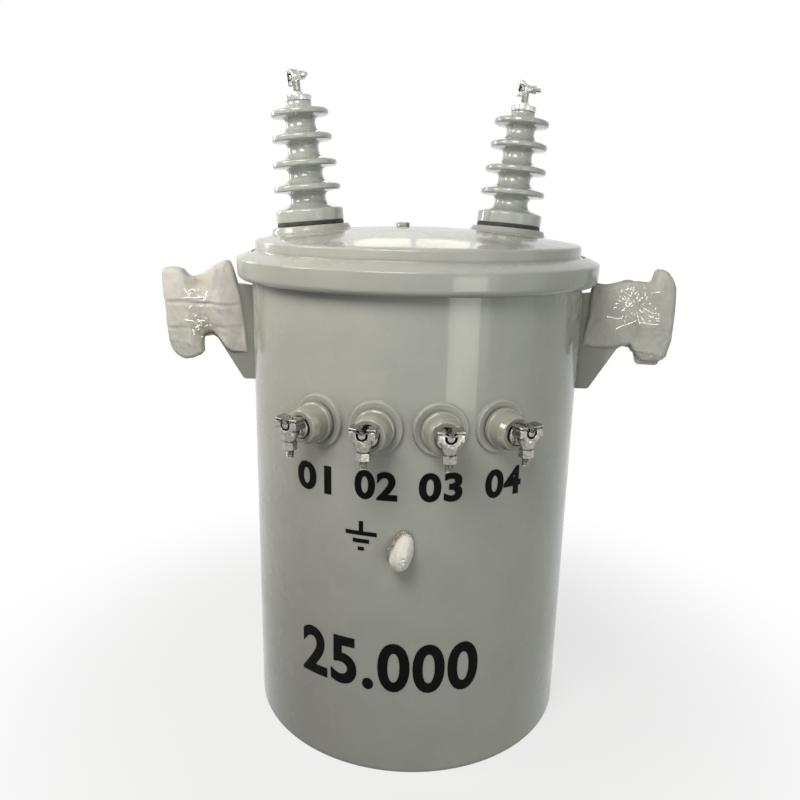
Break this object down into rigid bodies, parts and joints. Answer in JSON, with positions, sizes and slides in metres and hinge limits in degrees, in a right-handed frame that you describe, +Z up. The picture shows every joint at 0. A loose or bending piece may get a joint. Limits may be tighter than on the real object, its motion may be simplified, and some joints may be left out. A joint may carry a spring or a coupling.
{
  "type": "pole mounted transformer",
  "caption": "Oil-filled pole mounted distribution transformer: round tank, clamped domed cover, ribbed bushings on top, claw terminals on the side, lifting lugs and pole hangers.",
  "frame": {"origin": "centre of the tank's bottom rim, on the floor", "axes": "+Z up along the tank's axis, -Y towards the low-voltage side, +Y towards the pole, +X to the right as one faces the low-voltage side"},
  "size_m": [0.68, 0.5396, 0.8509],
  "materials": {
    "tank_paint": "semi-gloss light grey enamel",
    "porcelain": "glossy light grey glaze",
    "gasket_rubber": "matt black moulded rubber",
    "tinned_bronze": "tin-plated cast bronze, bright with darker hollows",
    "plated_steel": "bright plated steel",
    "packing_foam": "white closed-cell packing foam",
    "packing_tape": "clear packing tape, wrinkled",
    "marking_film": "black adhesive film",
    "hidden_filling": "not visible"
  },
  "bodies": {
    "root": {"band_bolt": "plated_steel", "bottom_plate": "tank_paint", "cover": "tank_paint", "cover_band": "tank_paint", "cover_gasket": "gasket_rubber", "cover_plug": "tank_paint", "ground_foam": "packing_foam", "ground_pad": "tank_paint", "ground_terminal": "plated_steel", "hanger_lower": "tank_paint", "hanger_upper": "tank_paint", "hv_bushing_left": "porcelain", "hv_bushing_right": "porcelain", "hv_cap_left": "plated_steel", "hv_cap_right": "plated_steel", "hv_claw_bolt_left": "tinned_bronze", "hv_claw_bolt_right": "tinned_bronze", "hv_gasket_left": "gasket_rubber", "hv_gasket_right": "gasket_rubber", "hv_nut_left": "plated_steel", "hv_nut_right": "plated_steel", "hv_terminal_left": "tinned_bronze", "hv_terminal_right": "tinned_bronze", "lifting_lug_left": "tank_paint", "lifting_lug_right": "tank_paint", "lug_foam_left": "packing_foam", "lug_foam_right": "packing_foam", "lv_bushing_1": "porcelain", "lv_bushing_2": "porcelain", "lv_bushing_3": "porcelain", "lv_bushing_4": "porcelain", "lv_claw_bolt_1": "tinned_bronze", "lv_claw_bolt_2": "tinned_bronze", "lv_claw_bolt_3": "tinned_bronze", "lv_claw_bolt_4": "tinned_bronze", "lv_gasket_1": "gasket_rubber", "lv_gasket_2": "gasket_rubber", "lv_gasket_3": "gasket_rubber", "lv_gasket_4": "gasket_rubber", "lv_terminal_1": "tinned_bronze", "lv_terminal_2": "tinned_bronze", "lv_terminal_3": "tinned_bronze", "lv_terminal_4": "tinned_bronze", "oil_and_core": "hidden_filling", "tank_lip": "tank_paint", "tank_shell": "tank_paint"}
  },
  "joints": []
}
